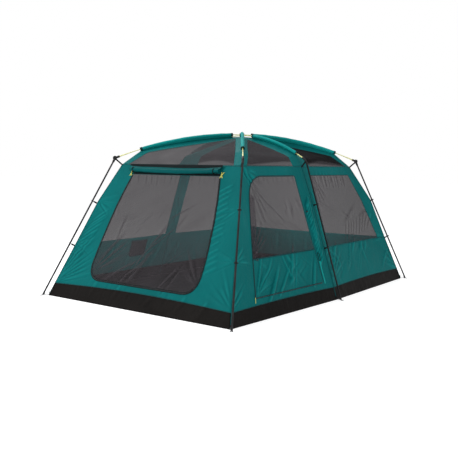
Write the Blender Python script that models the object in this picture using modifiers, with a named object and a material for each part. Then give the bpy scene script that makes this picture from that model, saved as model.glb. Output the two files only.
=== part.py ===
"""Screen house: a six-legged cabin tent with mesh walls, a zip door in front and one in the side.

Metres, +Z up. The origin is on the ground at the centre of the floor. +Y runs along the
length, the front wall is at -Y, and the long wall with the side door is at +X.
"""
from math import cos, pi, sin

import bmesh
import bpy
from mathutils import Matrix, Vector

# Plan of the fabric: half widths (X) and half lengths (Y) on the floor and at the eave.
FLOOR_X = 1.440
FLOOR_MID_X = 1.510
FLOOR_Y = 2.140
EAVE_X = 0.952
EAVE_Y = 1.315
EAVE_Z = 1.665

# Frame: where the legs meet the ground, and where each leg meets its elbow.
FOOT_X = 1.494
FOOT_Y = 2.190
FOOT_MID_X = 1.571
ELBOW_X = 1.0185
ELBOW_MID_X = 1.016
ELBOW_Y = 1.381
ELBOW_Z = 1.743
PEAK_Z = 2.080
POLE_STACK = 0.012

LEG_R = 0.0105
LEG_WALL = 0.0010
LEG_BOTTOM_Z = 0.0125
ELBOW_R = 0.0150
ELBOW_WALL = 0.0026
ELBOW_ARM = 0.060
POLE_R = 0.0055
POLE_TIP_R = 0.0085
POLE_TIP = 0.050
SLEEVE_R = 0.0135
SLEEVE_WALL = 0.0012
WIRE_R = 0.0030
RING_R = 0.0160

# Fabric levels on the walls, measured up from the ground.
CLOTH = 0.0012
SEAM = 0.0030
BAND_LOW = 0.002
BAND_TOP = 0.155
WALL_SEAM_Z = 0.640
WALL_TOP = EAVE_Z - 0.005

# Front doorway, from the sill up to the hinge line: half width, height and corner rounding.
DOOR_SILL = 0.262
DOOR_TOP = 1.540
DOOR_OUTLINE = (
    (0.860, DOOR_SILL, 0.210), (0.855, 0.620, 0.130), (0.795, 1.150, 0.250), (0.695, DOOR_TOP, 0.0),
)

# Side doorway in the front half of the +X wall: Y at its sill and at its top, on each edge.
SIDE_SILL = 0.237
SIDE_TOP = 1.545
SIDE_FREE_Y = (-1.604, -1.231)
SIDE_HINGE_Y = (-0.200, -0.240)
SIDE_CORNER_R = 0.270

# Roof: heights of the fabric ribs under the poles.
RIB_Z = 2.052
RIB_DROP = {"corner": 0.3250, "middle": 0.3308}
SLEEVE_SPAN = {"corner": (0.085, 0.800), "middle": (0.180, 0.850)}
RIB_START = 0.012

COLOURS = {
    "teal": ((0.010, 0.150, 0.150), 0.60, 0.0),
    "sleeve": ((0.030, 0.330, 0.320), 0.50, 0.0),
    "mesh": ((0.060, 0.060, 0.062), 0.80, 0.0),
    "floor": ((0.012, 0.012, 0.013), 0.55, 0.0),
    "steel": ((0.030, 0.030, 0.032), 0.35, 0.6),
    "plastic": ((0.015, 0.015, 0.016), 0.45, 0.0),
    "fibreglass": ((0.780, 0.720, 0.330), 0.40, 0.0),
    "webbing": ((0.014, 0.014, 0.015), 0.80, 0.0),
    "yellow": ((0.800, 0.700, 0.080), 0.50, 0.0),
    "wire": ((0.550, 0.550, 0.560), 0.30, 1.0),
}

# Leg places: name, side in X, side in Y (0 for the middle pair).
PLACES = {
    "front_left": (-1, -1),
    "front_right": (1, -1),
    "middle_right": (1, 0),
    "rear_right": (1, 1),
    "rear_left": (-1, 1),
    "middle_left": (-1, 0),
}
# Roof poles: the two places each one joins, and its level in the stack at the peak.
ROOF_POLES = {
    "roof_pole_diagonal_a": ("front_left", "rear_right", 0),
    "roof_pole_diagonal_b": ("front_right", "rear_left", 1),
    "roof_pole_cross": ("middle_left", "middle_right", -1),
}


def lerp(a, b, t):
    return a + (b - a) * t


def clear_scene():
    for obj in list(bpy.data.objects):
        bpy.data.objects.remove(obj, do_unlink=True)


def make_material(name, kind):
    colour, roughness, metallic = COLOURS[kind]
    material = bpy.data.materials.new(name)
    material.use_nodes = True
    shader = material.node_tree.nodes["Principled BSDF"]
    shader.inputs["Base Color"].default_value = (*colour, 1.0)
    shader.inputs["Roughness"].default_value = roughness
    shader.inputs["Metallic"].default_value = metallic
    material.diffuse_color = (*colour, 1.0)
    return material


def add_object(name, mesh, kind, smooth=False):
    """Put a mesh in the part's collection as one named piece."""
    mesh.name = name
    obj = bpy.data.objects.new(name, mesh)
    mesh.materials.clear()
    mesh.materials.append(make_material(name, kind))
    if smooth:
        mesh.shade_smooth()
        mesh.set_sharp_from_angle(angle=0.7)
    bpy.data.collections["screen_house"].objects.link(obj)
    return obj


def set_origin(obj, point):
    """Move an object's origin to a world point and leave its shape where it is."""
    obj.data.transform(Matrix.Translation(-point))
    obj.location = point


def tidy_mesh(mesh, distance=1e-6):
    """Weld a mesh's loose rims and turn its faces outward."""
    bm = bmesh.new()
    bm.from_mesh(mesh)
    bmesh.ops.remove_doubles(bm, verts=bm.verts, dist=distance)
    bmesh.ops.recalc_face_normals(bm, faces=bm.faces)
    if bm.calc_volume(signed=True) < 0:
        bmesh.ops.reverse_faces(bm, faces=bm.faces)
    bm.to_mesh(mesh)
    bm.free()
    return mesh


def curve_mesh(curve):
    """Turn curve data into a welded mesh and drop the curve."""
    helper = bpy.data.objects.new("helper", curve)
    bpy.context.scene.collection.objects.link(helper)
    graph = bpy.context.evaluated_depsgraph_get()
    mesh = bpy.data.meshes.new_from_object(helper.evaluated_get(graph))
    bpy.data.objects.remove(helper, do_unlink=True)
    return tidy_mesh(mesh)


def solidify(obj, thickness, offset):
    """Give an open surface its wall: inside it at offset -1, half on each side at 0."""
    modifier = obj.modifiers.new("wall", "SOLIDIFY")
    modifier.thickness = thickness
    modifier.offset = offset
    modifier.use_even_offset = True


def tube(name, points, radius, kind, sides=2, radii=None, wall=None):
    """Sweep a round section along points: solid, or a hollow tube when a wall is given."""
    curve = bpy.data.curves.new(name, "CURVE")
    curve.dimensions = "3D"
    curve.bevel_depth = radius
    curve.bevel_resolution = sides
    curve.use_fill_caps = wall is None
    spline = curve.splines.new("POLY")
    spline.points.add(len(points) - 1)
    for index, point in enumerate(points):
        spline.points[index].co = (*point, 1.0)
        spline.points[index].radius = radii[index] / radius if radii else 1.0
    obj = add_object(name, curve_mesh(curve), kind, smooth=True)
    if wall:
        solidify(obj, wall, -1.0)
    return obj


def block(name, size, matrix, kind, bevel=0.001):
    """A box with softened edges, set by its own axes."""
    bm = bmesh.new()
    bmesh.ops.create_cube(bm, size=1.0)
    bmesh.ops.scale(bm, vec=size, verts=bm.verts)
    mesh = bpy.data.meshes.new(name)
    bm.to_mesh(mesh)
    bm.free()
    obj = add_object(name, mesh, kind)
    obj.matrix_world = matrix
    modifier = obj.modifiers.new("edges", "BEVEL")
    modifier.width = bevel
    modifier.segments = 2
    return obj


def rounded(corners, steps=6):
    """Outline through (u, v, radius) corners, each one eased over its radius."""
    outline = []
    count = len(corners)
    for index, (u, v, radius) in enumerate(corners):
        corner = Vector((u, v))
        if radius == 0.0:
            outline.append(corner)
            continue
        before = Vector(corners[index - 1][:2]) - corner
        after = Vector(corners[(index + 1) % count][:2]) - corner
        start = corner + before.normalized() * radius
        end = corner + after.normalized() * radius
        for step in range(steps + 1):
            t = step / steps
            outline.append(start.lerp(corner, t).lerp(corner.lerp(end, t), t))
    return outline


def outline_mesh(name, loops, thickness):
    """Fill flat loops, and extrude them to a thickness when it is not zero."""
    curve = bpy.data.curves.new(name, "CURVE")
    curve.dimensions = "2D"
    curve.fill_mode = "BOTH" if thickness else "FRONT"
    curve.extrude = thickness / 2
    for loop in loops:
        spline = curve.splines.new("POLY")
        spline.points.add(len(loop) - 1)
        for index, point in enumerate(loop):
            spline.points[index].co = (point[0], point[1], 0.0, 1.0)
        spline.use_cyclic_u = True
    return curve_mesh(curve)


def plate(name, outline, thickness, place, kind):
    """A thick flat piece, cut to an outline and set by place(u, v, out)."""
    mesh = outline_mesh(name, [outline], thickness)
    for vertex in mesh.vertices:
        vertex.co = place(*vertex.co)
    return add_object(name, tidy_mesh(mesh), kind)


def cloth(name, bm, kind):
    """Turn an open surface into a sheet of cloth; both of its faces share one triangulation."""
    bmesh.ops.triangulate(bm, faces=bm.faces)
    mesh = bpy.data.meshes.new(name)
    bm.to_mesh(mesh)
    bm.free()
    obj = add_object(name, mesh, kind, smooth=True)
    solidify(obj, CLOTH, 0.0)
    return obj


def panel(name, loops, place, kind):
    """Cloth cut to an outline, with holes, and laid on a wall with place(u, v)."""
    bm = bmesh.new()
    bm.from_mesh(outline_mesh(name, loops, 0.0))
    for vertex in bm.verts:
        vertex.co = place(vertex.co.x, vertex.co.y)
    return cloth(name, bm, kind)


def sheet(name, columns, rows, point, kind):
    """Cloth over a surface point(u, v), with u and v from 0 to 1."""
    bm = bmesh.new()
    bmesh.ops.create_grid(bm, x_segments=columns, y_segments=rows, size=0.5)
    for vertex in bm.verts:
        vertex.co = point(vertex.co.x + 0.5, vertex.co.y + 0.5)
    return cloth(name, bm, kind)


def corner_x(z):
    return lerp(FLOOR_X, EAVE_X, z / EAVE_Z)


def corner_y(z):
    return lerp(FLOOR_Y, EAVE_Y, z / EAVE_Z)


def side_x(y, z):
    """Half width of a long wall at a place along it: it bows out at the middle leg."""
    at_floor = lerp(FLOOR_MID_X, FLOOR_X, abs(y) / corner_y(z))
    return lerp(at_floor, EAVE_X, z / EAVE_Z)


def end_wall(side):
    """Place function for the front (-1) or rear (+1) wall."""
    return lambda x, z, out=0.0: Vector((x, side * (corner_y(z) + out), z))


def long_wall(side):
    """Place function for the right (+1) or left (-1) wall."""
    return lambda y, z, out=0.0: Vector((side * (side_x(y, z) + out), y, z))


def foot_point(place):
    side_x_sign, side_y_sign = PLACES[place]
    x = FOOT_X if side_y_sign else FOOT_MID_X
    return Vector((side_x_sign * x, side_y_sign * FOOT_Y, 0.0))


def elbow_point(place):
    side_x_sign, side_y_sign = PLACES[place]
    x = ELBOW_X if side_y_sign else ELBOW_MID_X
    return Vector((side_x_sign * x, side_y_sign * ELBOW_Y, ELBOW_Z))


def span_kind(place):
    return "corner" if PLACES[place][1] else "middle"


def pole_point(place, t, level):
    """Point on a roof pole, t from the peak (0) to the elbow (1)."""
    elbow = elbow_point(place)
    peak = PEAK_Z + level * POLE_STACK
    return Vector((elbow.x * t, elbow.y * t, peak - (peak - ELBOW_Z) * t * t))


def rib_point(place, t):
    """Point of the roof fabric under a pole, down to the eave at t = 1."""
    kind = span_kind(place)
    elbow = elbow_point(place)
    sleeve_end = SLEEVE_SPAN[kind][1]
    if t <= sleeve_end:
        return Vector((elbow.x * t, elbow.y * t, RIB_Z - RIB_DROP[kind] * t * t))
    side_x_sign, side_y_sign = PLACES[place]
    eave = Vector((side_x_sign * EAVE_X, side_y_sign * EAVE_Y, EAVE_Z))
    last = Vector((elbow.x * sleeve_end, elbow.y * sleeve_end, RIB_Z - RIB_DROP[kind] * sleeve_end ** 2))
    return last.lerp(eave, (t - sleeve_end) / (1.0 - sleeve_end))


def level_of(place):
    for ends in ROOF_POLES.values():
        if place in ends[:2]:
            return ends[2]
    raise ValueError(place)


def leg_direction(place):
    return (elbow_point(place) - foot_point(place)).normalized()


def make_leg(place):
    direction = leg_direction(place)
    bottom = foot_point(place) + direction * (LEG_BOTTOM_Z / direction.z)
    top = elbow_point(place) - direction * (ELBOW_ARM * 0.35)
    tube(f"leg_{place}", [bottom, top], LEG_R, "steel", wall=LEG_WALL)


def make_elbow(place):
    """Hollow angled connector: one arm down over the leg, one along the roof pole."""
    elbow = elbow_point(place)
    inward = (pole_point(place, 0.98, level_of(place)) - elbow).normalized()
    arms = (-leg_direction(place), inward)
    bend_start = elbow + arms[0] * ELBOW_ARM * 0.3
    bend_end = elbow + arms[1] * ELBOW_ARM * 0.3
    points = [elbow + arms[0] * ELBOW_ARM]
    for step in range(6):
        t = step / 5
        points.append(bend_start.lerp(elbow, t).lerp(elbow.lerp(bend_end, t), t))
    points.append(elbow + arms[1] * ELBOW_ARM)
    tube(f"elbow_{place}", points, ELBOW_R, "plastic", wall=ELBOW_WALL)


def make_roof_pole(name):
    first, second, level = ROOF_POLES[name]
    steps = 14
    points = []
    radii = []
    for place, order in ((first, range(steps, 0, -1)), (second, range(0, steps + 1))):
        length = elbow_point(place).xy.length
        inner = 1.0 - ELBOW_ARM * 0.42 / length
        tip = 1.0 - (ELBOW_ARM + POLE_TIP) / length
        stops = [tip * index / (steps - 1) for index in range(steps)] + [inner]
        for index in order:
            points.append(pole_point(place, stops[index], level))
            radii.append(POLE_TIP_R if index >= steps - 1 else POLE_R)
    tube(name, points, POLE_R, "fibreglass", radii=radii)


def make_sleeve(place):
    start, end = SLEEVE_SPAN[span_kind(place)]
    steps = 9
    points = [pole_point(place, lerp(start, end, index / steps), level_of(place)) for index in range(steps + 1)]
    tube(f"sleeve_{place}", points, SLEEVE_R, "sleeve", wall=SLEEVE_WALL)


def make_foot_pin(place):
    """Bent wire: a pin up inside the leg, and a ring on the ground for the corner strap."""
    foot = foot_point(place)
    direction = leg_direction(place)
    outward = -Vector((direction.x, direction.y, 0.0)).normalized()
    across = Vector((-outward.y, outward.x, 0.0))
    lift = Vector((0.0, 0.0, WIRE_R))
    points = [foot + direction * height + lift for height in (0.075, 0.012)]
    centre = foot + outward * RING_R + lift
    steps = 12
    for index in range(steps + 1):
        angle = 2 * pi * index / steps * 0.88
        points.append(centre - outward * RING_R * cos(angle) + across * RING_R * sin(angle))
    tube(f"foot_pin_{place}", points, WIRE_R, "wire")


def make_peak_tie():
    """Webbing loop over the stack of poles where they cross."""
    half_width = 0.010
    top = PEAK_Z + POLE_STACK + POLE_R + 0.0015
    low = RIB_Z + 0.002
    reach = 0.040
    corners = ((-reach, low, 0.0), (-reach, top, 0.012), (reach, top, 0.012), (reach, low, 0.0))
    outer = rounded([(u * 1.04, v + 0.0015 if v == top else v, r) for u, v, r in corners], 4)
    outline = outer + rounded(corners, 4)[::-1]
    plate("peak_tie", outline, 2 * half_width, lambda u, v, out: Vector((out, u, v)), "webbing")


def make_gore(name, first, second):
    """Roof mesh between two ribs: a sheet over the ruled surface they span."""
    def point(u, v):
        t = lerp(RIB_START, 1.0, v)
        left = rib_point(first, t)
        right = rib_point(second, t)
        inset = (right - left).normalized() * SEAM
        return (left + inset).lerp(right - inset, u)

    sheet(name, 4, 10, point, "mesh")


def make_roof():
    names = ("front", "right_front", "right_rear", "rear", "left_rear", "left_front")
    order = ("front_left", "front_right", "middle_right", "rear_right", "rear_left", "middle_left")
    for index, name in enumerate(names):
        make_gore(f"roof_gore_{name}", order[index], order[(index + 1) % 6])


def end_outline(low, high):
    """Outline of an end wall between two heights, clear of the corner seams."""
    bottom = corner_x(low) - SEAM
    top = corner_x(high) - SEAM
    return [(-bottom, low), (bottom, low), (top, high), (-top, high)]


def long_outline(low, high, half):
    """Outline of half a long wall (front -1, rear +1) between two heights."""
    bottom = corner_y(low) - SEAM
    top = corner_y(high) - SEAM
    return [(half * SEAM, low), (half * bottom, low), (half * top, high), (half * SEAM, high)]


def wall_sheet(name, outline, place, kind):
    """Plain four-cornered cloth on a wall."""
    lower_start, lower_end, upper_end, upper_start = (Vector(point) for point in outline)

    def point(u, v):
        return place(*lower_start.lerp(lower_end, u).lerp(upper_start.lerp(upper_end, u), v))

    sheet(name, 4, 2, point, kind)


def front_doorway(margin):
    """The U-shaped front doorway, grown by a margin, with its straight hinge line on top."""
    right = [(x + margin, z - (margin if z == DOOR_SILL else 0.0), r) for x, z, r in DOOR_OUTLINE]
    right[-1] = (DOOR_OUTLINE[-1][0] + margin, DOOR_TOP + margin, 0.0)
    left = [(-x, z, r) for x, z, r in reversed(right)]
    return rounded(right + left)


def side_edge(ends, z):
    return lerp(ends[0], ends[1], (z - SIDE_SILL) / (SIDE_TOP - SIDE_SILL))


def side_doorway(low, high, margin, radius):
    """Side doorway outline between two heights, grown by a margin."""
    free = [side_edge(SIDE_FREE_Y, z) - margin for z in (low, high)]
    hinge = [side_edge(SIDE_HINGE_Y, z) + margin for z in (low, high)]
    corners = ((free[0], low, 0.0), (hinge[0], low, 0.0), (hinge[1], high, 0.0), (free[1], high, radius))
    return rounded(corners, 8)


def make_floor():
    inset = 0.006
    outline = [(FLOOR_X - inset, -FLOOR_Y + inset), (FLOOR_MID_X - inset, 0.0), (FLOOR_X - inset, FLOOR_Y - inset)]
    outline += [(-x, y) for x, y in reversed(outline)]
    panel("floor_sheet", [outline], lambda x, y: Vector((x, y, CLOTH / 2)), "floor")
    for name, side in (("front", -1), ("rear", 1)):
        wall_sheet(f"floor_band_{name}", end_outline(BAND_LOW, BAND_TOP), end_wall(side), "floor")
    bottom = corner_y(BAND_LOW) - SEAM
    top = corner_y(BAND_TOP) - SEAM
    outline = [(-bottom, BAND_LOW), (bottom, BAND_LOW), (top, BAND_TOP), (-top, BAND_TOP)]
    for name, side in (("right", 1), ("left", -1)):
        wall_sheet(f"floor_band_{name}", outline, long_wall(side), "floor")


def make_walls():
    low = BAND_TOP + SEAM
    seam_low = WALL_SEAM_Z - SEAM / 2
    seam_high = WALL_SEAM_Z + SEAM / 2
    panel("front_wall", [end_outline(low, WALL_TOP), front_doorway(SEAM)], end_wall(-1), "teal")
    wall_sheet("rear_wall", end_outline(low, seam_low), end_wall(1), "teal")
    wall_sheet("rear_window", end_outline(seam_high, WALL_TOP), end_wall(1), "mesh")
    doorway = side_doorway(SIDE_SILL - SEAM, SIDE_TOP + SEAM, SEAM, SIDE_CORNER_R)
    panel("right_front_wall", [long_outline(low, WALL_TOP, -1), doorway], long_wall(1), "teal")
    for name, side, half in (("right_rear", 1, 1), ("left_front", -1, -1), ("left_rear", -1, 1)):
        wall_sheet(f"{name}_wall", long_outline(low, seam_low, half), long_wall(side), "teal")
        wall_sheet(f"{name}_window", long_outline(seam_high, WALL_TOP, half), long_wall(side), "mesh")


def make_doors():
    """The door pieces turn with their hinge lines, so their origins sit on them."""
    front = panel("front_door_panel", [front_doorway(0.0)], end_wall(-1), "mesh")
    set_origin(front, end_wall(-1)(0.0, DOOR_TOP, 0.0))
    seam_low = WALL_SEAM_Z - SEAM / 2
    seam_high = WALL_SEAM_Z + SEAM / 2
    hinge = long_wall(1)(SIDE_HINGE_Y[0], SIDE_SILL)
    lower = panel("side_door_lower", [side_doorway(SIDE_SILL, seam_low, 0.0, 0.0)], long_wall(1), "teal")
    upper = panel("side_door_mesh", [side_doorway(seam_high, SIDE_TOP, 0.0, SIDE_CORNER_R)], long_wall(1), "mesh")
    for piece in (lower, upper):
        set_origin(piece, hinge)


def wall_axes(place, u, z, lean):
    """Frame on a wall: X along it, Y up its slope and leaning by lean per metre, Z outward."""
    origin = place(u, z, 0.0)
    up = (place(u + lean * 0.1, z + 0.1, 0.0) - origin).normalized()
    out = (place(u, z, 0.1) - origin)
    across = up.cross(out).normalized()
    return origin, across, up, across.cross(up).normalized()


def matrix_from(origin, across, up, out):
    matrix = Matrix((across, up, out)).transposed().to_4x4()
    matrix.translation = origin
    return matrix


def make_side_zip():
    """Slider beside the zip at the free lower corner of the side door, and its pull."""
    lean = (SIDE_FREE_Y[1] - SIDE_FREE_Y[0]) / (SIDE_TOP - SIDE_SILL)
    origin, across, up, out = wall_axes(long_wall(1), SIDE_FREE_Y[0] - 0.014, SIDE_SILL + 0.025, lean)
    body = origin + out * 0.008
    block("side_zip_slider", (0.012, 0.024, 0.008), matrix_from(body, across, up, out), "plastic")
    pull = block("side_zip_pull", (0.008, 0.066, 0.003), matrix_from(body - up * 0.048, across, up, out), "yellow")
    pull.data.transform(Matrix.Translation((0.0, -0.034, 0.0)))
    pull.matrix_world = matrix_from(body - up * 0.014, across, up, out)


def make_front_zip():
    """Slider on the inner side of the front door's zip, parked low on the right edge."""
    low, high = DOOR_OUTLINE[1], DOOR_OUTLINE[2]
    lean = (high[0] - low[0]) / (high[1] - low[1])
    origin, across, up, out = wall_axes(end_wall(-1), low[0] + 0.005, low[1] + 0.02, lean)
    matrix = matrix_from(origin - out * 0.008, across, up, out)
    block("front_zip_slider", (0.012, 0.024, 0.008), matrix, "plastic")


def make_storm_flap():
    """The front door's outer cloth, rolled up above it, with a toggle at each end."""
    ends = (-0.740, 0.700)
    steps = 10
    points = []
    radii = []
    for index in range(steps + 1):
        t = index / steps
        bulge = sin(pi * t)
        points.append(Vector((lerp(ends[0], ends[1], t), -1.398, 1.612 - 0.014 * bulge)))
        radii.append(0.024 + 0.010 * bulge)
    tube("storm_flap_roll", points, 0.024, "teal", radii=radii)
    for name, x in (("left", -0.722), ("right", 0.722)):
        origin, across, up, out = wall_axes(end_wall(-1), x, 1.548, 0.0)
        toggle = block(f"toggle_{name}", (0.011, 0.042, 0.011), matrix_from(origin + out * 0.014, across, up, out),
                       "yellow", bevel=0.003)
        toggle.modifiers["edges"].segments = 2


def make_pocket():
    """Flat pocket sewn inside the left wall."""
    corners = ((-0.820, 0.600, 0.0), (-0.820, 0.370, 0.060), (-0.500, 0.370, 0.060), (-0.500, 0.600, 0.0))
    place = long_wall(-1)
    plate("inner_pocket", rounded(corners), 0.008, lambda y, z, out: place(y, z, out - 0.010), "mesh")


def make_frame():
    for place in PLACES:
        make_leg(place)
        make_elbow(place)
        make_foot_pin(place)
        make_sleeve(place)
    for name in ROOF_POLES:
        make_roof_pole(name)
    make_peak_tie()


def main():
    clear_scene()
    collection = bpy.data.collections.new("screen_house")
    bpy.context.scene.collection.children.link(collection)
    make_frame()
    make_roof()
    make_floor()
    make_walls()
    make_doors()
    make_side_zip()
    make_front_zip()
    make_storm_flap()
    make_pocket()


main()
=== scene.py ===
"""Looks of the screen house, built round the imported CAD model.

Metres, +Z up, in the frame of the CAD. Cloth is laid on wall surfaces with two coordinates:
a runs along the wall (X on the front and rear, Y on the long walls) and z is the height.
"""
from math import atan2, cos, pi, radians, sin

import bpy
import numpy as np
from mathutils import Matrix, Vector, noise


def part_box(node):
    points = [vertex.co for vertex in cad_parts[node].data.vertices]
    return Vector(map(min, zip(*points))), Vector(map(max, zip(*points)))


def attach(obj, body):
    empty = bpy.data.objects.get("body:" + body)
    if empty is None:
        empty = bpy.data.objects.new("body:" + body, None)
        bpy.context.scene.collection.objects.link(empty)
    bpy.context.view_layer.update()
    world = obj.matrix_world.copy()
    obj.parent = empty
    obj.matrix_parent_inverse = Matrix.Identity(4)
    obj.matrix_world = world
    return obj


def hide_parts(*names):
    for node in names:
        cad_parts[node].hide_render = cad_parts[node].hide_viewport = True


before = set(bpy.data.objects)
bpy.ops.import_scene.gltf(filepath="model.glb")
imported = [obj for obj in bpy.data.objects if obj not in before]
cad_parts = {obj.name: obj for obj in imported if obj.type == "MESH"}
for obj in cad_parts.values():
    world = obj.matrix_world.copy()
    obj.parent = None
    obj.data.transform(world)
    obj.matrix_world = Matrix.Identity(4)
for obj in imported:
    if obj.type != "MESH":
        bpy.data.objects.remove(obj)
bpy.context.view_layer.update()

# Plan of the cloth, from the frame.
FLOOR_MARGIN = 0.006
MID_BOW = 0.070
_, floor_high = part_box("floor_sheet")
roof_low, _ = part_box("roof_gore_front")
SEAM = 0.003
FLOOR_MID_X = floor_high.x + FLOOR_MARGIN
FLOOR_X = FLOOR_MID_X - MID_BOW
FLOOR_Y = floor_high.y + FLOOR_MARGIN
EAVE_X = -roof_low.x + SEAM
EAVE_Y = -roof_low.y
EAVE_Z = 1.665
SEAM_Z = 0.640
WINDOW_TOP = 1.545
BAND_TOP = {"corner": 0.155, "end": 0.190, "long": 0.168}

# Doors: corners (a, z, rounding).
FRONT_SILL, FRONT_TOP = 0.262, 1.540
FRONT_DOOR = ((0.860, FRONT_SILL, 0.210), (0.855, 0.620, 0.130), (0.795, 1.150, 0.250),
              (0.695, FRONT_TOP, 0.0))
SIDE_SILL, SIDE_TOP = 0.237, 1.545
SIDE_FREE_Y = (-1.604, -1.231)
SIDE_HINGE_Y = (-0.200, -0.240)
SIDE_DOOR = ((SIDE_FREE_Y[0], SIDE_SILL, 0.0), (SIDE_HINGE_Y[0], SIDE_SILL, 0.0),
             (SIDE_HINGE_Y[1], SIDE_TOP, 0.0), (SIDE_FREE_Y[1], SIDE_TOP, 0.270))

# Where clips pull the corner seams towards the legs: height, and how far the cloth comes out.
CLIP_Z = (0.650, 1.190)
CLIP_PULL = {"front": (0.016, 0.030), "middle": (0.012, 0.020), "rear": (0.032, 0.064)}
PULL_REACH = 0.20

# Relief of the cloth: scale of all folds, sag of a bay, the width over which relief fades out at
# an edge, and how early a fan's folds peak.
FOLD_SCALE = 1.9
BAY_SAG = 0.018
EDGE_FADE = 0.05
FAN_LEAD = 0.55

UP = np.array((0.0, 0.0, 1.0))
LEG_R = 0.0105

# Thickness of cloth and tape, and the grid of a tape.
CLOTH = 0.0006
TAPE_THICKNESS = 0.0008
TAPE_STEP = 0.015
TAPE_COLUMNS = 5
PLACES = {
    "front_left": (-1, -1), "front_right": (1, -1), "middle_right": (1, 0),
    "rear_right": (1, 1), "rear_left": (-1, 1), "middle_left": (-1, 0),
}
RING = list(PLACES)


def lerp(a, b, t):
    return a + (b - a) * t


def smooth(x):
    """Ease from 0 to 1 as x goes from 0 to 1."""
    x = np.clip(x, 0.0, 1.0)
    return x * x * (3 - 2 * x)


# ---------------------------------------------------------------- materials

class Shader:
    """A Principled material and short ways to add nodes to it."""

    def __init__(self, name, roughness, metallic=0.0, coat=0.0, specular=0.5):
        self.material = bpy.data.materials.new(name)
        self.material.use_nodes = True
        self.tree = self.material.node_tree
        self.surface = self.tree.nodes["Principled BSDF"]
        for socket, value in (("Roughness", roughness), ("Metallic", metallic), ("Coat Weight", coat),
                              ("Specular IOR Level", specular)):
            self.surface.inputs[socket].default_value = value

    def node(self, kind, settings=None, **inputs):
        made = self.tree.nodes.new("ShaderNode" + kind)
        for key, value in (settings or {}).items():
            setattr(made, key, value)
        for key, value in inputs.items():
            socket = made.inputs[int(key[1:])] if key[1:].isdigit() else made.inputs[key.replace("_", " ")]
            if isinstance(value, bpy.types.NodeSocket):
                self.tree.links.new(value, socket)
            else:
                socket.default_value = value
        return made

    def math(self, operation, a, b=0.0):
        return self.node("Math", {"operation": operation}, i0=a, i1=b).outputs[0]

    def mix(self, factor, a, b):
        made = self.node("Mix", {"data_type": "RGBA"})
        for socket, value in (("Factor_Float", factor), ("A_Color", a), ("B_Color", b)):
            target = next(i for i in made.inputs if i.identifier == socket)
            if isinstance(value, bpy.types.NodeSocket):
                self.tree.links.new(value, target)
            else:
                target.default_value = (*value, 1.0) if socket != "Factor_Float" else value
        return next(o for o in made.outputs if o.identifier == "Result_Color")

    def noise(self, scale, detail=3.0, stretch=(1.0, 1.0, 1.0)):
        where = self.node("TexCoord").outputs["Object"]
        placed = self.node("Mapping", Vector=where, Scale=stretch).outputs[0]
        return self.node("TexNoise", Vector=placed, Scale=scale, Detail=detail).outputs[0]

    def weave(self, pitch):
        """Height of a plain weave with a thread every pitch metres."""
        where = self.node("TexCoord").outputs["UV"]
        threads = []
        for direction in ("X", "Y"):
            wave = self.node("TexWave", {"bands_direction": direction}, Vector=where, Scale=pi / 10 / pitch)
            threads.append(wave.outputs["Color"])
        return self.math("MAXIMUM", *threads)

    def attribute(self, name):
        return self.node("Attribute", {"attribute_name": name}).outputs["Fac"]

    def ramp(self, value, low, high):
        return self.node("MapRange", i0=value, i1=low, i2=high, i3=0.0, i4=1.0).outputs[0]

    def bump(self, *layers):
        """Stack bumps, each (height, depth in metres)."""
        normal = None
        for height, depth in layers:
            made = self.node("Bump", Height=height, Distance=depth)
            if normal:
                self.tree.links.new(normal, made.inputs["Normal"])
            normal = made.outputs[0]
        self.tree.links.new(normal, self.surface.inputs["Normal"])

    def link(self, value, socket):
        self.tree.links.new(value, self.surface.inputs[socket])


def cloth_material(name, colour, shade, fold_highlight, roughness=0.62, pitch=0.0016, dust=0.16,
                   gloss=(0.15, 0.85, 0.85), specular=0.10):
    """Coated tent cloth: weave, soft crinkle, patchy colour, a painted highlight on its folds and a dusty
    foot.
    """
    s = Shader(name, roughness, specular=specular)
    s.surface.inputs["Specular Tint"].default_value = (*gloss, 1.0)
    patches = s.mix(s.ramp(s.noise(1.7, 4.0), 0.36, 0.66), colour, shade)
    # Paler where the cloth is steep or ridged in its folds: a painted highlight.
    fold_highlighted = s.mix(s.math("MULTIPLY", s.attribute("fold"), 0.55), patches, fold_highlight)
    height = s.node("SeparateXYZ", Vector=s.node("TexCoord").outputs["Object"]).outputs[2]
    low = s.math("MULTIPLY", s.ramp(height, 0.55, 0.10), s.ramp(s.noise(9.0, 5.0), 0.40, 0.75))
    dusty = tuple(c * 1.3 + 0.012 for c in colour)
    s.link(s.mix(s.math("MULTIPLY", low, dust), fold_highlighted, dusty), "Base Color")
    s.link(s.math("ADD", s.math("MULTIPLY", s.noise(14.0), 0.16), roughness - 0.08), "Roughness")
    crumple = s.noise(7.0, 4.0, (1.0, 1.0, 0.45))
    s.bump((crumple, 0.012), (s.noise(38.0, 3.0), 0.0016), (s.weave(pitch), 0.00012))
    return s.material


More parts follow.
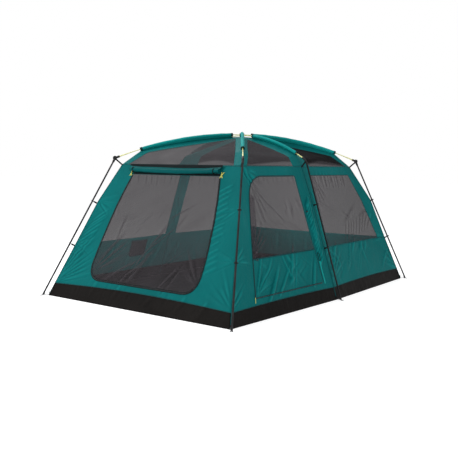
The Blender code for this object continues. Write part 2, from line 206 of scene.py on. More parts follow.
def net_material(name, colour, opacity):
    """Fine insect net: threads with holes between them, denser where the net is bunched, and paler there
    with a painted highlight.
    """
    s = Shader(name, 0.80, specular=0.05)
    threads = s.weave(0.0014)
    bunched = s.attribute("fold")
    patch = s.ramp(s.noise(2.3, 3.0), 0.30, 0.70)
    base = s.mix(patch, colour, tuple(c * 1.25 for c in colour))
    # Paler where the net is bunched: a painted highlight on its folds.
    lit = s.mix(s.math("MULTIPLY", bunched, 0.5), base, tuple(c * 1.8 for c in colour))
    # Where a gore is marked dense the net is made more opaque and its colour near black: painted shade on
    # the rear roof.
    dense_shaded = s.attribute("dense_shaded")
    s.link(s.mix(s.math("MULTIPLY", dense_shaded, 0.90), lit, tuple(c * 0.15 for c in colour)), "Base Color")
    cover = s.math("ADD", s.math("MULTIPLY", threads, 0.10), opacity - 0.075)
    cover = s.math("ADD", cover, s.math("MULTIPLY", s.math("SUBTRACT", bunched, 0.5), 0.20))
    cover = s.math("ADD", cover, s.math("MULTIPLY", dense_shaded, 0.24))
    s.link(s.math("MINIMUM", s.math("ADD", cover, s.math("MULTIPLY", patch, 0.02)), 0.975), "Alpha")
    s.bump((s.noise(9.0, 3.0, (1.0, 1.0, 0.5)), 0.006), (threads, 0.0002))
    return s.material


def tape_material(name, colour, shade, stitched=False):
    """Webbing or binding tape: ribs across it and, if stitched, a line of stitches down its middle."""
    s = Shader(name, 0.78, specular=0.10)
    base = s.mix(s.ramp(s.noise(60.0, 2.0), 0.35, 0.70), colour, shade)
    if stitched:
        where = s.node("SeparateXYZ", Vector=s.node("TexCoord").outputs["UV"])
        dashes = s.math("GREATER_THAN", s.math("FRACT", s.math("DIVIDE", where.outputs[0], 0.0045)), 0.35)
        line = s.math("COMPARE", where.outputs[1], 0.0)
        line.node.inputs[2].default_value = 0.0006
        thread = tuple(c * 3 + 0.05 for c in colour)
        base = s.mix(s.math("MULTIPLY", dashes, line), base, thread)
    s.link(base, "Base Color")
    s.link(s.math("ADD", s.math("MULTIPLY", s.noise(30.0), 0.2), 0.66), "Roughness")
    s.bump((s.weave(0.0022), 0.0003), (s.noise(50.0, 3.0), 0.0006))
    return s.material


def hard_material(name, colour, shade, roughness, metallic=0.0, coat=0.0, grain=(1, 1, 1), scale=40.0,
                  specular=0.30):
    """Painted metal, glass fibre or moulded plastic: fine grain, wear and uneven gloss."""
    s = Shader(name, roughness, metallic=metallic, coat=coat, specular=specular)
    wear = s.ramp(s.noise(scale * 0.35, 6.0, grain), 0.45, 0.80)
    s.link(s.mix(wear, colour, shade), "Base Color")
    uneven = s.math("MULTIPLY", s.noise(scale * 0.6, 4.0, grain), 0.30)
    s.link(s.math("ADD", uneven, roughness - 0.15), "Roughness")
    s.bump((s.noise(scale * 6.0, 2.0, grain), 0.0003))
    return s.material


# The third colour given to each cloth is the painted highlight on its folds.
TEAL = cloth_material("teal_cloth", (0.0010, 0.106, 0.108), (0.0006, 0.078, 0.081), (0.008, 0.235, 0.228))
# A darker copy of the teal cloth for the rolled flap: painted shade.
SHADED_ROLL_TEAL = cloth_material("rolled_cloth_painted_shade", (0.0007, 0.066, 0.069), (0.0004, 0.046, 0.049),
                           (0.005, 0.150, 0.148))
# A lighter copy of the teal cloth, painted light: the sleeves' lit tops and the tie-back strip.
LIT_TEAL = cloth_material("lit_teal_cloth", (0.004, 0.285, 0.270), (0.003, 0.225, 0.215),
                             (0.018, 0.360, 0.335), dust=0.0)
NET = net_material("insect_net", (0.034, 0.0305, 0.0335), 0.757)
POLY = cloth_material("floor_poly", (0.0075, 0.0066, 0.0060), (0.0045, 0.0041, 0.0038),
                      (0.015, 0.013, 0.012), roughness=0.55, pitch=0.0026, dust=0.02,
                      gloss=(1.0, 0.92, 0.88), specular=0.06)
HEM_NET = net_material("net_hem", (0.052, 0.0430, 0.0510), 0.300)
SEAM_TEAL = tape_material("teal_seam", (0.0035, 0.088, 0.090), (0.0028, 0.070, 0.073), stitched=True)
BINDING = tape_material("seam_binding", (0.0045, 0.050, 0.054), (0.0030, 0.036, 0.040), stitched=True)
ZIP_TAPE = tape_material("zip_tape", (0.006, 0.012, 0.013), (0.004, 0.008, 0.009), stitched=True)
WEBBING = tape_material("black_webbing", (0.011, 0.011, 0.012), (0.006, 0.006, 0.007))
GREY_WEBBING = tape_material("grey_webbing", (0.120, 0.125, 0.130), (0.080, 0.085, 0.090))
COIL = hard_material("zip_coil", (0.010, 0.012, 0.013), (0.020, 0.022, 0.023), 0.40, scale=120.0)
STEEL = hard_material("painted_steel", (0.014, 0.014, 0.0145), (0.030, 0.029, 0.029),
                      0.48, grain=(1, 1, 0.25), specular=0.14)
PLASTIC = hard_material("moulded_plastic", (0.012, 0.012, 0.013), (0.028, 0.028, 0.029), 0.46, scale=60.0)
GLASS_FIBRE = hard_material("glass_fibre", (0.780, 0.770, 0.340), (0.660, 0.630, 0.240),
                            0.38, 0.0, 0.25, (1, 1, 4))
WIRE = hard_material("bare_wire", (0.300, 0.300, 0.305), (0.180, 0.175, 0.170), 0.34, 1.0, scale=90.0)
YELLOW = hard_material("yellow_plastic", (0.740, 0.720, 0.150), (0.640, 0.600, 0.110),
                       0.48, 0.0, 0.1, scale=70.0)


# ---------------------------------------------------------------- wall surfaces

def fold_height(folds, a, z):
    """Summed height of straight folds, each (a0, z0, a1, z1, width, height, lead).

    A fold peaks half way along at lead 1, and nearer its start at a smaller lead.
    """
    total = np.zeros_like(a)
    for a0, z0, a1, z1, width, height, lead in folds:
        run, rise = a1 - a0, z1 - z0
        length = np.hypot(run, rise)
        along = np.clip(((a - a0) * run + (z - z0) * rise) / length ** 2, 0.0, 1.0)
        across = ((a - a0) * rise - (z - z0) * run) / length
        total += height * np.sin(pi * along ** lead) * np.exp(-(across / width) ** 2)
    return total


def fan(rng, corner, angles, count, length, width, height):
    """Tension folds that spread from a pulled corner; angles in degrees from +a towards +z."""
    folds = []
    for index in range(count):
        angle = radians(lerp(*angles, (index + rng.uniform(0.2, 0.8)) / count))
        reach = length * rng.uniform(0.55, 1.0)
        a1, z1 = corner[0] + cos(angle) * reach, corner[1] + sin(angle) * reach
        sign = 1 if index % 2 else -0.7
        folds.append((*corner, a1, z1, width * rng.uniform(0.7, 1.3),
                      sign * height * rng.uniform(0.6, 1.0), FAN_LEAD))
    return folds


def drapes(rng, a_range, z_range, count, lean, width, height):
    """Roughly vertical folds spread along a wall, each leaning by lean metres over its height."""
    folds = []
    for index in range(count):
        a0 = lerp(*a_range, (index + rng.uniform(0.1, 0.9)) / count)
        z0 = lerp(*z_range, rng.uniform(0.0, 0.18))
        z1 = lerp(*z_range, rng.uniform(0.65, 1.0))
        slant = lean * rng.uniform(0.5, 1.4)
        sign = 1 if index % 2 else -0.6
        folds.append((a0, z0, a0 + slant, z1, width * rng.uniform(0.6, 1.4),
                      sign * height * rng.uniform(0.5, 1.0), 1.0))
    return folds


def puckers(rng, start, end, count, angle, length, width, height):
    """Short parallel folds stepped along a line."""
    folds = []
    angle = radians(angle)
    for index in range(count):
        t = (index + rng.uniform(0.3, 0.7)) / count
        a, z = lerp(start[0], end[0], t), lerp(start[1], end[1], t)
        half = length * rng.uniform(0.35, 0.6)
        da, dz = cos(angle) * half, sin(angle) * half
        folds.append((a - da, z - dz, a + da, z + dz, width * rng.uniform(0.8, 1.2),
                      height * rng.uniform(0.6, 1.0), 1.0))
    return folds


def scattered(rng, a_range, z_range, count, angles, length, width, height):
    """Folds of mixed length and direction strewn over a panel."""
    folds = []
    for index in range(count):
        a, z = rng.uniform(*a_range), rng.uniform(*z_range)
        angle = radians(rng.uniform(*angles))
        half = length * rng.uniform(0.25, 0.60)
        da, dz = cos(angle) * half, sin(angle) * half
        sign = 1 if index % 3 else -0.7
        folds.append((a - da, z - dz, a + da, z + dz, width * rng.uniform(0.5, 1.6),
                      sign * height * rng.uniform(0.4, 1.0), rng.uniform(0.6, 1.6)))
    return folds


def corner_x(z):
    return lerp(FLOOR_X, EAVE_X, z / EAVE_Z)


def corner_y(z):
    return lerp(FLOOR_Y, EAVE_Y, z / EAVE_Z)


class Wall:
    """One wall's cloth surface. kind is "end" (front, rear) or "long" (right, left)."""

    def __init__(self, kind, side, folds):
        self.end = kind == "end"
        self.side = side
        self.has_side_door = not self.end and side > 0
        self.folds = folds
        slope = atan2((FLOOR_Y - EAVE_Y) if self.end else (FLOOR_X + MID_BOW / 2 - EAVE_X), EAVE_Z)
        flat = side * cos(slope)
        self.normal = np.array((0.0, flat, sin(slope)) if self.end else (flat, 0.0, sin(slope)))

    def half(self, z):
        return corner_x(z) if self.end else corner_y(z)

    def relief(self, a, z):
        """How far the cloth stands off its flat surface, in metres."""
        half = self.half(z)
        level = np.clip(z / EAVE_Z, 0.0, 1.0)
        span = np.cos(pi / 2 * a / half) if self.end else np.abs(np.sin(pi * a / half))
        bay = -BAY_SAG * span * np.sin(pi * level)
        edges = (np.clip((half - np.abs(a)) / EDGE_FADE, 0, 1) * np.clip((EAVE_Z - z) / EDGE_FADE, 0, 1)
                 * np.clip(z / 0.06, 0, 1))
        calm = 1.0
        if self.has_side_door:
            calm = np.clip(np.abs(a - side_edge(SIDE_FREE_Y, z)) / 0.06, 0.06, 1.0)
        return (bay + FOLD_SCALE * fold_height(self.folds, a, z) * calm) * edges

    def points(self, a, z, out=0.0):
        a, z = np.broadcast_arrays(np.asarray(a, float), np.asarray(z, float))
        level = z / EAVE_Z
        half = self.half(z)
        heights = (0.0, *CLIP_Z, EAVE_Z)
        pulls = {key: np.interp(z, heights, (0.0, *pull, 0.0)) for key, pull in CLIP_PULL.items()}
        if self.end:
            pull = pulls["rear" if self.side > 0 else "front"]
        else:
            pull = np.where(a > 0, pulls["rear"], pulls["front"])
        pull = pull * np.exp(-((half - np.abs(a)) / PULL_REACH) ** 2)
        if self.has_side_door:
            beyond = smooth((side_edge(SIDE_FREE_Y, z) - a) / 0.16)
            pull = np.where(a < 0, pull * beyond, pull)
        along = a + np.sign(a) * pull
        if self.end:
            away = corner_y(z) + pull
        else:
            foot = lerp(FLOOR_MID_X, FLOOR_X, np.abs(a) / corner_y(z))
            away = lerp(foot, EAVE_X, level) + pull + pulls["middle"] * np.exp(-(a / PULL_REACH) ** 2)
        flat = (along, self.side * away, z) if self.end else (self.side * away, along, z)
        return np.stack(flat, axis=-1) + self.normal * (self.relief(a, z) + out)[..., None]


def front_folds():
    rng = np.random.default_rng(11)
    folds = fan(rng, (-1.41, 0.16), (12, 66), 15, 0.85, 0.014, 0.0065)
    folds += puckers(rng, (-1.25, 0.30), (-0.98, 1.05), 12, 38, 0.34, 0.014, 0.0050)
    folds += fan(rng, (1.41, 0.16), (118, 170), 8, 0.60, 0.019, 0.0034)
    folds += fan(rng, (-1.25, 0.65), (-28, 40), 6, 0.42, 0.016, 0.0040)
    folds += fan(rng, (-1.09, 1.19), (-50, 20), 6, 0.36, 0.016, 0.0040)
    folds += fan(rng, (1.25, 0.65), (150, 215), 5, 0.40, 0.014, 0.0030)
    folds += fan(rng, (1.09, 1.19), (170, 230), 5, 0.32, 0.014, 0.0032)
    folds += puckers(rng, (0.95, 0.50), (0.82, 1.45), 14, 205, 0.18, 0.011, 0.0055)
    folds += scattered(rng, (-0.78, 0.74), (0.34, 0.78), 14, (28, 62), 0.66, 0.022, 0.0110)
    folds += fan(rng, (-0.84, 0.34), (18, 60), 6, 0.80, 0.018, 0.0065)
    folds += fan(rng, (0.84, 0.36), (112, 160), 4, 0.50, 0.020, 0.0060)
    folds += scattered(rng, (-0.66, 0.66), (0.85, 1.45), 9, (5, 40), 0.70, 0.030, 0.0055)
    folds += drapes(rng, (-1.10, 1.10), (0.02, 0.27), 10, 0.10, 0.020, 0.0050)
    return folds


def right_folds():
    rng = np.random.default_rng(23)
    folds = scattered(rng, (-1.50, -0.30), (0.26, 0.60), 11, (22, 68), 0.46, 0.018, 0.0085)
    folds += scattered(rng, (-1.40, -0.30), (0.26, 0.60), 6, (95, 165), 0.34, 0.022, 0.0060)
    folds.append((-1.31, 1.66, -1.20, 1.45, 0.015, -0.0160, 1.0))
    folds += fan(rng, (-1.56, 0.27), (8, 62), 6, 0.60, 0.016, 0.0070)
    folds += fan(rng, (0.02, 0.22), (18, 68), 8, 0.70, 0.018, 0.0095)
    folds += scattered(rng, (0.25, 1.75), (0.22, 0.60), 11, (18, 62), 0.50, 0.020, 0.0080)
    folds += scattered(rng, (0.25, 1.75), (0.22, 0.60), 5, (100, 160), 0.34, 0.024, 0.0055)
    folds += fan(rng, (0.16, 1.56), (262, 318), 8, 0.55, 0.014, 0.0070)
    folds += puckers(rng, (0.70, 0.78), (1.52, 0.90), 9, 58, 0.36, 0.018, 0.0080)
    folds += puckers(rng, (0.30, 1.49), (1.10, 1.46), 9, 92, 0.22, 0.014, 0.0050)
    folds += fan(rng, (-1.24, 1.50), (278, 325), 7, 0.70, 0.018, 0.0065)
    folds += fan(rng, (-1.48, 0.66), (20, 68), 9, 0.55, 0.015, 0.0075)
    folds += puckers(rng, (-1.20, 1.00), (-0.35, 0.90), 6, 152, 0.42, 0.024, 0.0050)
    folds += puckers(rng, (-0.11, 0.50), (-0.11, 1.25), 16, 48, 0.19, 0.015, 0.0150)
    folds += puckers(rng, (0.07, 0.70), (0.07, 1.35), 12, 128, 0.10, 0.012, 0.0050)
    folds += fan(rng, (-2.09, 0.16), (20, 75), 8, 0.50, 0.015, 0.0060)
    folds += fan(rng, (-1.81, 0.65), (-20, 40), 6, 0.32, 0.015, 0.0055)
    folds += fan(rng, (-1.33, 1.64), (-62, -5), 6, 0.46, 0.022, 0.0100)
    folds += fan(rng, (2.09, 0.16), (108, 165), 8, 0.55, 0.016, 0.0060)
    folds += fan(rng, (1.81, 0.65), (150, 205), 5, 0.40, 0.018, 0.0050)
    folds += fan(rng, (0.02, 0.65), (-75, -20), 6, 0.40, 0.018, 0.0070)
    folds += fan(rng, (-0.02, 0.65), (200, 255), 5, 0.34, 0.018, 0.0060)
    return folds


def plain_folds(seed, half_low, half_high):
    """Folds for the walls seen through the tent and from behind."""
    rng = np.random.default_rng(seed)
    folds = drapes(rng, (-half_low, half_low), (0.15, 0.66), 13, 0.16, 0.026, 0.0070)
    folds += puckers(rng, (-half_high, 1.48), (half_high, 1.48), 18, 94, 0.22, 0.016, 0.0026)
    inner = half_low * 0.8
    folds += scattered(rng, (-inner, inner), (0.70, 1.10), 12, (30, 150), 0.40, 0.020, 0.0055)
    for sign in (-1, 1):
        angles = (15, 70) if sign < 0 else (110, 165)
        folds += fan(rng, (sign * half_low, 0.16), angles, 8, 0.55, 0.016, 0.0045)
    return folds


WALLS = {
    "front": Wall("end", -1, front_folds()),
    "right": Wall("long", 1, right_folds()),
    "rear": Wall("end", 1, plain_folds(31, 1.38, 0.85)),
    "left": Wall("long", -1, plain_folds(47, 2.05, 1.15)),
}


# ---------------------------------------------------------------- mesh building

def grid_faces(rows, columns, closed):
    """Corner indices of the quads of a grid, its last column joined to the first if closed."""
    faces = []
    for row in range(rows - 1):
        for column in range(columns if closed else columns - 1):
            right = (column + 1) % columns
            faces.append((row * columns + column, row * columns + right,
                          (row + 1) * columns + right, (row + 1) * columns + column))
    return faces


def metric_uv(points):
    """Texture coordinates in metres: distance along each row, and up each column."""
    uv = np.zeros(points.shape[:2] + (2,))
    uv[:, 1:, 0] = np.cumsum(np.linalg.norm(np.diff(points, axis=1), axis=-1), axis=1)
    uv[1:, :, 1] = np.cumsum(np.linalg.norm(np.diff(points, axis=0), axis=-1), axis=0)
    return uv


def point_attribute(mesh, name, values):
    mesh.attributes.new(name, "FLOAT", "POINT").data.foreach_set("value", values.astype(np.float32).ravel())


def surface(name, points, material, uv=None, closed=False, flip=False, fold=None, wall=0.0, caps=False):
    """A smooth mesh over a grid of points (rows, columns, 3)."""
    rows, columns = points.shape[:2]
    faces = grid_faces(rows, columns, closed)
    if caps:
        faces.append(tuple(range(columns))[::-1])
        faces.append(tuple((rows - 1) * columns + c for c in range(columns)))
    if flip:
        faces = [face[::-1] for face in faces]
    mesh = bpy.data.meshes.new(name)
    mesh.from_pydata(points.reshape(-1, 3).tolist(), [], faces)
    flat = (metric_uv(points) if uv is None else uv).reshape(-1, 2)
    layer = mesh.uv_layers.new(name="UVMap")
    corners = np.zeros(len(mesh.loops), np.int32)
    mesh.loops.foreach_get("vertex_index", corners)
    layer.data.foreach_set("uv", flat[corners].astype(np.float32).ravel())
    point_attribute(mesh, "fold", np.full(rows * columns, 0.5) if fold is None else fold)
    mesh.materials.append(material)
    mesh.shade_smooth()
    if caps:
        mesh.set_sharp_from_angle(angle=0.9)
    obj = bpy.data.objects.new(name, mesh)
    bpy.context.scene.collection.objects.link(obj)
    if wall:
        modifier = obj.modifiers.new("cloth", "SOLIDIFY")
        modifier.thickness = wall
        modifier.offset = 0.0
    return obj


def place(obj, body="tent", replaces=()):
    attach(obj, body)
    if replaces:
        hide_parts(*replaces)
    return obj


def distances(line):
    """Distance from the start of a polyline to each of its points."""
    return np.concatenate([[0.0], np.cumsum(np.linalg.norm(np.diff(line, axis=0), axis=1))])


def tangents(path):
    """Unit direction of a path at each of its points."""
    tangent = np.gradient(path, axis=0)
    return tangent / np.linalg.norm(tangent, axis=1)[:, None]


def resample(line, count):
    """count + 1 points evenly along a polyline."""
    line = np.asarray(line, float)
    steps = distances(line)
    at = np.linspace(0.0, steps[-1], count + 1)
    return np.stack([np.interp(at, steps, line[:, k]) for k in range(line.shape[1])], axis=1)


def resample_closed(outline, count):
    """count points evenly round a closed outline."""
    return resample(np.vstack([outline, outline[:1]]), count)[:-1]


def rounded(corners, steps=8):
    """Closed outline through (a, z, radius) corners, each one eased over its radius."""
    outline = []
    for index, (a, z, radius) in enumerate(corners):
        corner = Vector((a, z))
        if radius == 0.0:
            outline.append(tuple(corner))
            continue
        before = (Vector(corners[index - 1][:2]) - corner).normalized()
        after = (Vector(corners[(index + 1) % len(corners)][:2]) - corner).normalized()
        start, end = corner + before * radius, corner + after * radius
        for step in range(steps + 1):
            t = step / steps
            outline.append(tuple(start.lerp(corner, t).lerp(corner.lerp(end, t), t)))
    return np.array(outline)


def sides_of(outline, corners, counts):
    """Split a closed outline at the points nearest four corners, and resample each side.

    Corners run bottom left, bottom right, top right, top left; counts are (across, up).
    """
    marks = [int(np.argmin(np.linalg.norm(outline - np.array(c), axis=1))) for c in corners]
    sides = []
    for index in range(4):
        start, end = marks[index], marks[(index + 1) % 4]
        if end <= start:
            end += len(outline)
        sides.append(resample(outline[np.arange(start, end + 1) % len(outline)], counts[index % 2]))
    return sides


def straight_sides(corners, counts):
    return [resample([corners[i], corners[(i + 1) % 4]], counts[i % 2]) for i in range(4)]


def coons(sides):
    """Grid of points inside four sides, given bottom, right, top and left all anticlockwise."""
    bottom, right, top, left = sides[0], sides[1], sides[2][::-1], sides[3][::-1]
    u = np.linspace(0, 1, len(bottom))[None, :, None]
    v = np.linspace(0, 1, len(right))[:, None, None]
    across = left[:, None] * (1 - u) + right[:, None] * u
    up = bottom[None] * (1 - v) + top[None] * v
    corners = (bottom[0] * (1 - u) * (1 - v) + bottom[-1] * u * (1 - v)
               + top[0] * (1 - u) * v + top[-1] * u * v)
    return across + up - corners


def noise_field(points):
    """Smooth noise at each of a grid of points."""
    return np.array([noise.noise(Vector(p)) for p in points.reshape(-1, 3)]).reshape(points.shape[:-1])


def band_top(kind, a, half):
    """Height of the floor's upturned band: higher between the legs than at them."""
    share = np.cos(pi / 2 * a / half) if kind == "end" else np.abs(np.sin(pi * a / half))
    return lerp(BAND_TOP["corner"], BAND_TOP[kind], share)


def folded(wall, grid):
    """How bunched the cloth is at each grid point, from 0 to 1, from its own relief; the materials paint a
    highlight on folds by it.
    """
    a, z = grid[..., 0], grid[..., 1]
    step = 0.006
    slope = np.hypot(wall.relief(a + step, z) - wall.relief(a - step, z),
                     wall.relief(a, z + step) - wall.relief(a, z - step)) / (2 * step)
    crest = (2 * wall.relief(a, z) - wall.relief(a + 0.02, z) - wall.relief(a - 0.02, z)) / 0.004
    return np.clip(0.35 + 0.9 * slope + 0.5 * crest, 0.0, 1.0)


def lay(name, wall_name, grid, material, body="tent", replaces=(), out=0.0, cloth=CLOTH, closed=False):
    """Lay a grid of (a, z) points on a wall as one piece of cloth."""
    wall = WALLS[wall_name]
    points = wall.points(grid[..., 0], grid[..., 1], out)
    uv = grid * np.array((1.0, 1.1))
    flip = (wall.side > 0) == wall.end
    obj = surface(name, points, material, uv, closed, flip, folded(wall, grid), cloth)
    return place(obj, body, replaces)


def area_of(obj):
    """Area of a piece's own mesh, before its thickness is added."""
    return sum(face.area for face in obj.data.polygons)


def declare(obj, width, height):
    """Return a piece unchanged. Its size as cloth cut from width by height is worked out,

    and a border that is mostly hole is sized as one long strip instead, but neither is kept.
    """
    area = area_of(obj)
    longest = 2 * (width + height)
    if area < 0.35 * width * height:
        width, height = area / longest, longest
    return obj


def ring_cloth(name, wall_name, outer, inner, rings, material, replaces=()):
    """Cloth round a door or window: a ring of cells between its outer and inner sides."""
    outer_loop = np.concatenate([side[:-1] for side in outer])
    inner_loop = np.concatenate([side[:-1] for side in inner])
    t = np.linspace(0, 1, rings + 1)[:, None, None]
    grid = outer_loop[None] * (1 - t) + inner_loop[None] * t
    return lay(name, wall_name, grid, material, replaces=replaces, closed=True)


def tape(name, wall_name, path, width, out, material, body="tent", bulge=0.0006, shift=0.0):
    """A narrow tape along a path on a wall, slightly crowned, with real thickness."""
    path = resample(path, max(8, int(distances(path)[-1] / TAPE_STEP)))
    across = np.linspace(-0.5, 0.5, TAPE_COLUMNS)
    tangent = tangents(path)
    left = np.stack([-tangent[:, 1], tangent[:, 0]], axis=1)
    grid = path[None] + left[None] * (shift + across[:, None, None] * width)
    lift = out + bulge * (1 - (2 * across[:, None]) ** 2)
    wall = WALLS[wall_name]
    points = wall.points(grid[..., 0], grid[..., 1], np.broadcast_to(lift, grid.shape[:2]))
    uv = np.stack(np.broadcast_arrays(distances(path)[None], across[:, None] * width), axis=-1)
    flip = (wall.side > 0) == wall.end
    return place(surface(name, points, material, uv, flip=flip, wall=TAPE_THICKNESS), body)


def sweep(name, path, section, material, body="tent", up=(0, 0, 1), caps=True, wall=0.0, replaces=()):
    """Sweep a section, in (sideways, up) metres, along a path. The section may change along it."""
    path = np.asarray(path, float)
    section = np.asarray(section, float)
    if section.ndim == 2:
        section = np.broadcast_to(section, (len(path),) + section.shape)
    tangent = tangents(path)
    side = np.cross(tangent, np.asarray(up, float))
    side /= np.linalg.norm(side, axis=1)[:, None]
    top = np.cross(side, tangent)
    points = path[:, None] + section[..., :1] * side[:, None] + section[..., 1:] * top[:, None]
    obj = surface(name, points, material, closed=True, caps=caps, wall=wall, flip=True)
    return place(obj, body, replaces)


def circle(radius, count=12):
    angles = np.linspace(0, 2 * pi, count, endpoint=False)
    return np.stack([np.cos(angles), np.sin(angles)], axis=1) * radius


def strap_section(width, thickness):
    """Flat strap with rounded edges, as a closed section."""
    w, t = width / 2, thickness / 2
    return np.array([(-w, 0), (-w * 0.9, t), (0, t * 1.15), (w * 0.9, t),
                     (w, 0), (w * 0.9, -t), (0, -t), (-w * 0.9, -t)])


# ---------------------------------------------------------------- walls, doors and floor

def quad(left, right, low, high):
    """Corners of the cloth between two ends, given as functions of height."""
    return ((left(low), low), (right(low), low), (right(high), high), (left(high), high))


def band_side(kind, ends, count):
    """Lower edge of a wall, along the top of the floor band between two places."""
    half = corner_x(0.16) if kind == "end" else corner_y(0.16)
    a = np.linspace(*ends, count + 1)
    return np.stack([a, band_top(kind, a, half)], axis=1)


def make_zip(door, wall_name, line, widths, material):
    """A tape and a coil on the door's edge, and the same on the wall round it."""
    halves = ((f"{door}_door", f"{door}_door", 1), (f"{door}_wall", "tent", -1))
    for (part, body, side), width in zip(halves, widths):
        tape(f"{part}_zip_tape", wall_name, line, width, 0.0020, material, body,
             shift=side * (width / 2 + 0.0007))
    for part, body, side in halves:
        tape(f"{part}_zip_coil", wall_name, line, 0.0024, 0.0030, COIL, body,
             bulge=0.0014, shift=side * 0.0014)


def make_front_wall():
    counts = (120, 120)
    outline = rounded([*FRONT_DOOR, *[(-a, z, r) for a, z, r in reversed(FRONT_DOOR)]])
    corners = ((-0.86, FRONT_SILL), (0.86, FRONT_SILL), (0.695, FRONT_TOP), (-0.695, FRONT_TOP))
    inner = sides_of(outline, corners, counts)
    low = BAND_TOP["corner"]
    outer = straight_sides(quad(lambda z: -corner_x(z), corner_x, low, EAVE_Z), counts)
    outer[0] = band_side("end", (-corner_x(low), corner_x(low)), counts[0])
    wall = ring_cloth("front_wall_cloth", "front", outer, inner, 30, TEAL, ["front_wall"])
    declare(wall, 2.80, 1.70)
    door = lay("front_door_net", "front", coons(inner), NET, "front_door",
               ["front_door_panel"], cloth=0.0)
    declare(door, 1.72, 1.45)
    zip_line = np.concatenate([inner[3][2:-1], inner[0][:-1], inner[1][:-2]])
    make_zip("front", "front", zip_line, (0.010, 0.012), ZIP_TAPE)
    # The door's top hem is dark tape, made dark also to paint the shade under the rolled flap.
    tape("front_door_top_hem", "front", inner[2], 0.024, 0.0020, ZIP_TAPE, shift=-0.0135)
    make_flap_shade_band()


def make_flap_shade_band():
    """Dark sheet standing off the wall over the rolled flap, painting the shade above it; its lower edge
    sags between its ends.
    """
    left, right, top = -0.770, 0.715, 1.657
    t = np.linspace(0, 1, 49)
    sagging = np.stack([lerp(left, right, t), lerp(1.636, 1.604, np.sin(pi * t))], axis=1)
    ends = [resample([sagging[-1], (right, top)], 4), resample([(left, top), sagging[0]], 4)]
    header = coons([sagging, ends[0], resample([(right, top), (left, top)], 48), ends[1]])
    cover = lay("flap_shade_band", "front", header, ZIP_TAPE, out=0.030)
    declare(cover, right - left, 0.04)


def side_edge(ends, z):
    return lerp(ends[0], ends[1], (z - SIDE_SILL) / (SIDE_TOP - SIDE_SILL))


def make_right_front_wall():
    counts = (110, 140)
    outline = resample_closed(rounded(SIDE_DOOR, 12), 560)
    corners = [corner[:2] for corner in SIDE_DOOR]
    inner = sides_of(outline, corners, counts)
    low = BAND_TOP["corner"]
    start = -corner_y(low)
    outer = straight_sides(((start, low), (0, low), (0, EAVE_Z), (-EAVE_Y, EAVE_Z)), counts)
    outer[0] = band_side("long", (start, 0.0), counts[0])
    wall = ring_cloth("right_front_cloth", "right", outer, inner, 26, TEAL,
                      ["right_front_wall"])
    declare(wall, 2.10, 1.65)

    free, hinge = side_edge(SIDE_FREE_Y, SEAM_Z), side_edge(SIDE_HINGE_Y, SEAM_Z)
    lower = coons(straight_sides((corners[0], corners[1], (hinge, SEAM_Z), (free, SEAM_Z)), (84, 28)))
    cloth = lay("side_door_cloth", "right", lower, TEAL, "side_door", ["side_door_lower"])
    declare(cloth, 1.41, 0.45)
    upper = resample_closed(rounded(((free, SEAM_Z, 0.0), (hinge, SEAM_Z, 0.0), *SIDE_DOOR[2:]), 12), 400)
    sides = sides_of(upper, ((free, SEAM_Z), (hinge, SEAM_Z), corners[2], corners[3]), (84, 60))
    net = lay("side_door_net", "right", coons(sides), NET, "side_door", ["side_door_mesh"],
              cloth=0.0)
    declare(net, 1.30, 0.95)
    seam = np.array([(free, SEAM_Z), (hinge, SEAM_Z)])
    tape("side_door_seam", "right", seam, 0.014, 0.0014, BINDING, "side_door")
    tape("side_door_net_hem", "right", sides[3][:10:-1], 0.100, 0.0010, HEM_NET, "side_door",
         shift=-0.054)

    zip_line = np.concatenate([inner[2][2:-1], inner[3][:-1], inner[0][:-2]])
    make_zip("side", "right", zip_line, (0.006, 0.008), BINDING)
    tape("side_door_hinge_seam", "right", inner[1], 0.010, 0.0012, BINDING, shift=-0.0085)


def make_window_wall(name, wall_name, left, right, window, counts=(60, 72)):
    """Half of a long wall, or a whole end wall: teal cloth round one net window.

    left and right give the cloth's ends along the wall at each height. window is
    (low left, low right, high right, high left) along the wall.
    """
    kind = "end" if WALLS[wall_name].end else "long"
    window = list(zip(window, (SEAM_Z + 0.004, SEAM_Z + 0.004, WINDOW_TOP, WINDOW_TOP)))
    low = BAND_TOP["corner"]
    lower = straight_sides(quad(left, right, low, SEAM_Z), (counts[0], 30))
    lower[0] = band_side(kind, (left(low), right(low)), counts[0])
    cloth = lay(f"{name}_wall_cloth", wall_name, coons(lower), TEAL, replaces=[f"{name}_wall"])
    declare(cloth, abs(right(low) - left(low)), 0.53)
    outer = straight_sides(quad(left, right, SEAM_Z, EAVE_Z), counts)
    inner = straight_sides(window, counts)
    border = ring_cloth(f"{name}_window_border", wall_name, outer, inner, 14, TEAL)
    declare(border, abs(right(SEAM_Z) - left(SEAM_Z)), 1.08)
    net = lay(f"{name}_window_net", wall_name, coons(inner), NET, replaces=[f"{name}_window"],
              cloth=0.0)
    declare(net, abs(window[1][0] - window[0][0]), 0.96)
    seam = np.array([(left(SEAM_Z), SEAM_Z), (right(SEAM_Z), SEAM_Z)])
    tape(f"{name}_seam", wall_name, seam, 0.010, 0.0013, SEAM_TEAL)
    for label, side in (("rear_edge", inner[1]), ("top", inner[2]), ("front_edge", inner[3])):
        tape(f"{name}_window_{label}", wall_name, side, 0.009, 0.0012, BINDING, shift=-0.004)


def make_plain_walls():
    def middle(z):
        return 0.0

    make_window_wall("right_rear", "right", middle, corner_y, (0.15, 1.64, 1.19, 0.15))
    make_window_wall("left_rear", "left", middle, corner_y, (0.12, 1.70, 1.18, 0.12))
    make_window_wall("left_front", "left", lambda z: -corner_y(z), middle, (-1.70, -0.10, -0.10, -1.18))
    make_window_wall("rear", "rear", lambda z: -corner_x(z), corner_x, (-1.215, 1.215, 0.940, -0.940),
                     (84, 60))


